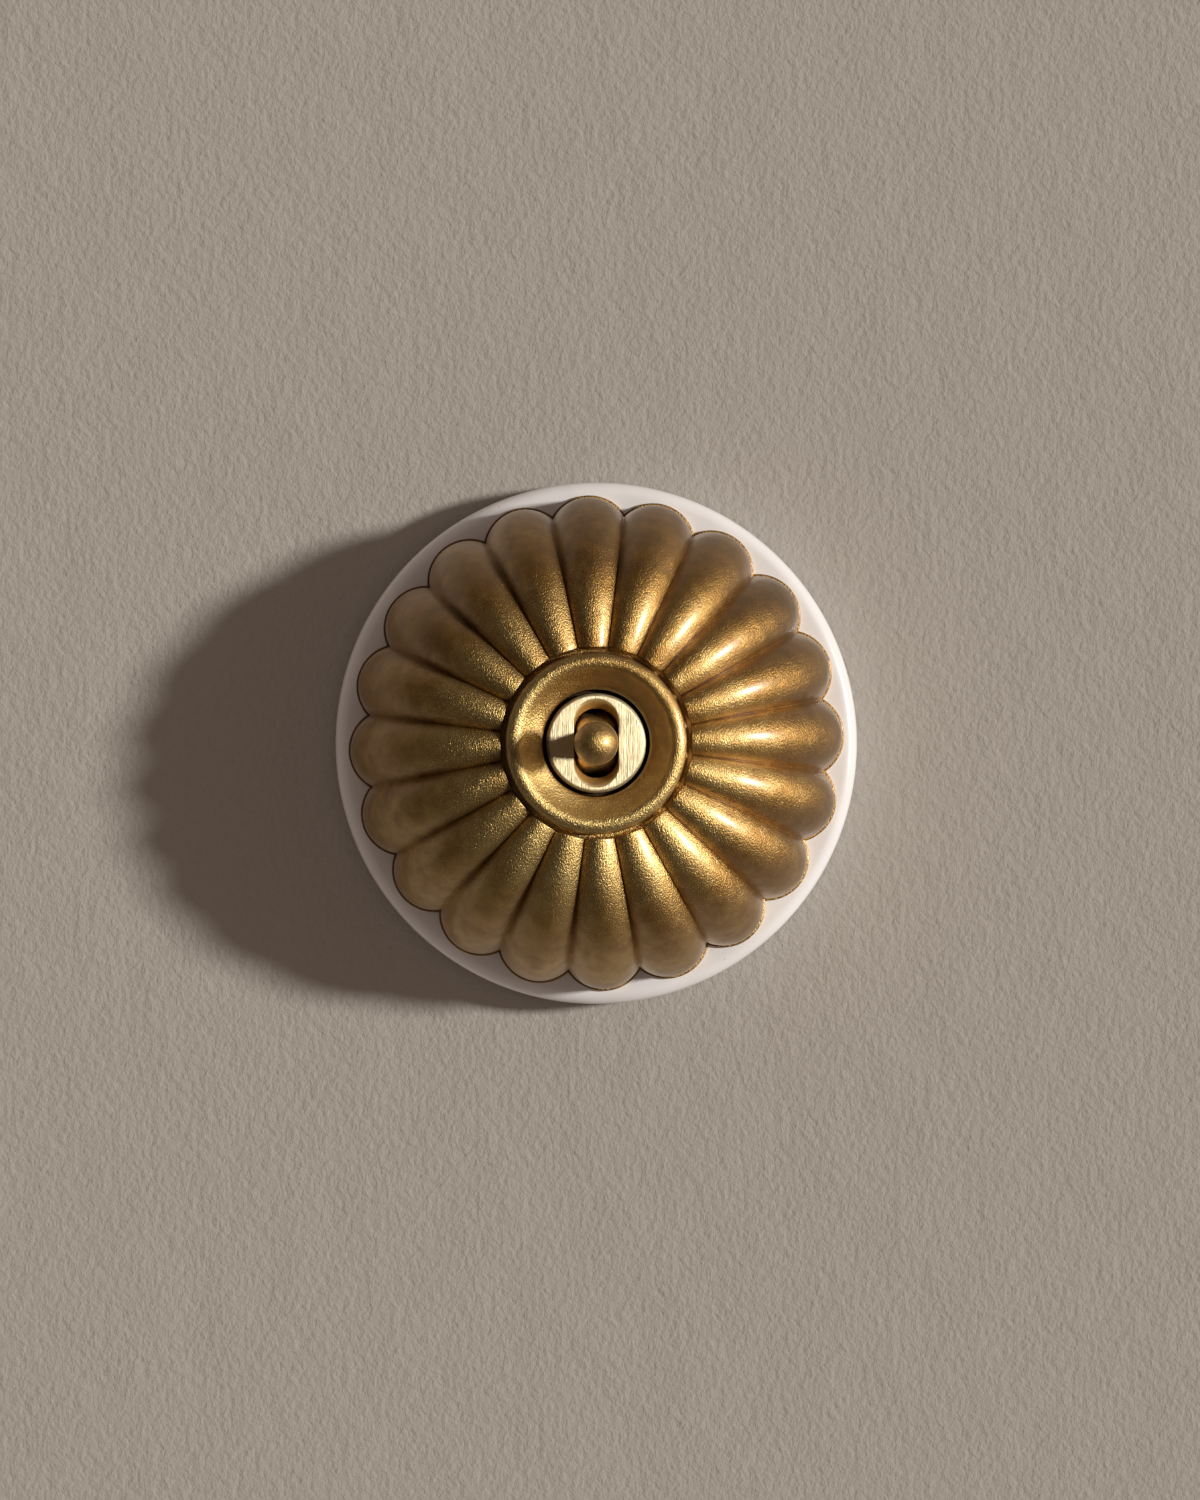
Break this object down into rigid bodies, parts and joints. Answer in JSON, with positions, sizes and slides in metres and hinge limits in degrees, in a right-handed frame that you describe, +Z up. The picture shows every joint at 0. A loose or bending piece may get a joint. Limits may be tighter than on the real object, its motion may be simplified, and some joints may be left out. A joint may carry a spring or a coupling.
{
  "type": "brass dolly switch",
  "caption": "Round surface mounted toggle switch: fluted brass bell cover on a white glazed ceramic base, with a ball ended lever that tips up and down in a slotted bush.",
  "frame": {"origin": "on the switch's axis, in the wall plane at the back of the ceramic base, midway between the two fixing holes", "axes": "+Z up the wall, -Y out of the wall to the front, +X to the right seen from the front; the lever tips in the YZ plane"},
  "size_m": [0.0826, 0.0496, 0.0826],
  "materials": {
    "glazed_white": "glossy white glaze",
    "aged_brass": "satin, aged, with brown toning in the hollows",
    "pale_brass": "turned and rubbed bright",
    "plain_brass": "plain machined",
    "plain_ceramic": "unglazed",
    "steel": "plain",
    "spring_steel": "drawn wire",
    "silver": "silver faced",
    "fibre": "red vulcanised fibre",
    "black_moulding": "moulded insulator"
  },
  "bodies": {
    "switch": {"block_screw_left": "steel", "block_screw_right": "steel", "bridge_frame": "plain_brass", "bridge_screw_left": "steel", "bridge_screw_right": "steel", "bush_nut": "plain_brass", "bush_washer": "fibre", "contact_block": "plain_ceramic", "cradle_screw": "plain_brass", "dolly_pin": "steel", "earth_screw": "steel", "earth_terminal": "plain_brass", "fixed_contact_lower": "silver", "fixed_contact_upper": "silver", "fluted_cover": "aged_brass", "porcelain_base": "glazed_white", "rocker_cradle": "plain_brass", "rocker_pin": "steel", "terminal_common": "plain_brass", "terminal_lower": "plain_brass", "terminal_screw_common": "steel", "terminal_screw_lower": "steel", "terminal_screw_upper": "steel", "terminal_upper": "plain_brass", "threaded_bush": "pale_brass"},
    "lever": {"dolly_lever": "pale_brass"},
    "plunger": {"plunger": "steel", "plunger_spring": "spring_steel"},
    "rocker": {"rocker_arm": "plain_brass", "rocker_shoe": "black_moulding", "moving_contact_upper": "silver", "moving_contact_lower": "silver"}
  },
  "joints": [
    {"name": "dolly_swing", "type": "hinge", "parent": "switch", "child": "lever", "pos_m": [0, -0.0323, 0], "axis": [1, 0, 0], "range_deg": [-24, 24]},
    {"name": "rocker_tilt", "type": "hinge", "parent": "switch", "child": "rocker", "pos_m": [0, -0.0177, 0], "axis": [1, 0, 0], "range_deg": [-8, 8]},
    {"name": "plunger_slide", "type": "slide", "parent": "lever", "child": "plunger", "axis": [0, -1, 0], "range_m": [0, 0.0008], "stiffness_N_per_m": 200, "springref_m": -0.002}
  ],
  "couplings": [
    {"joint": "rocker_tilt", "follows": "dolly_swing", "ratio": -0.33333}
  ]
}
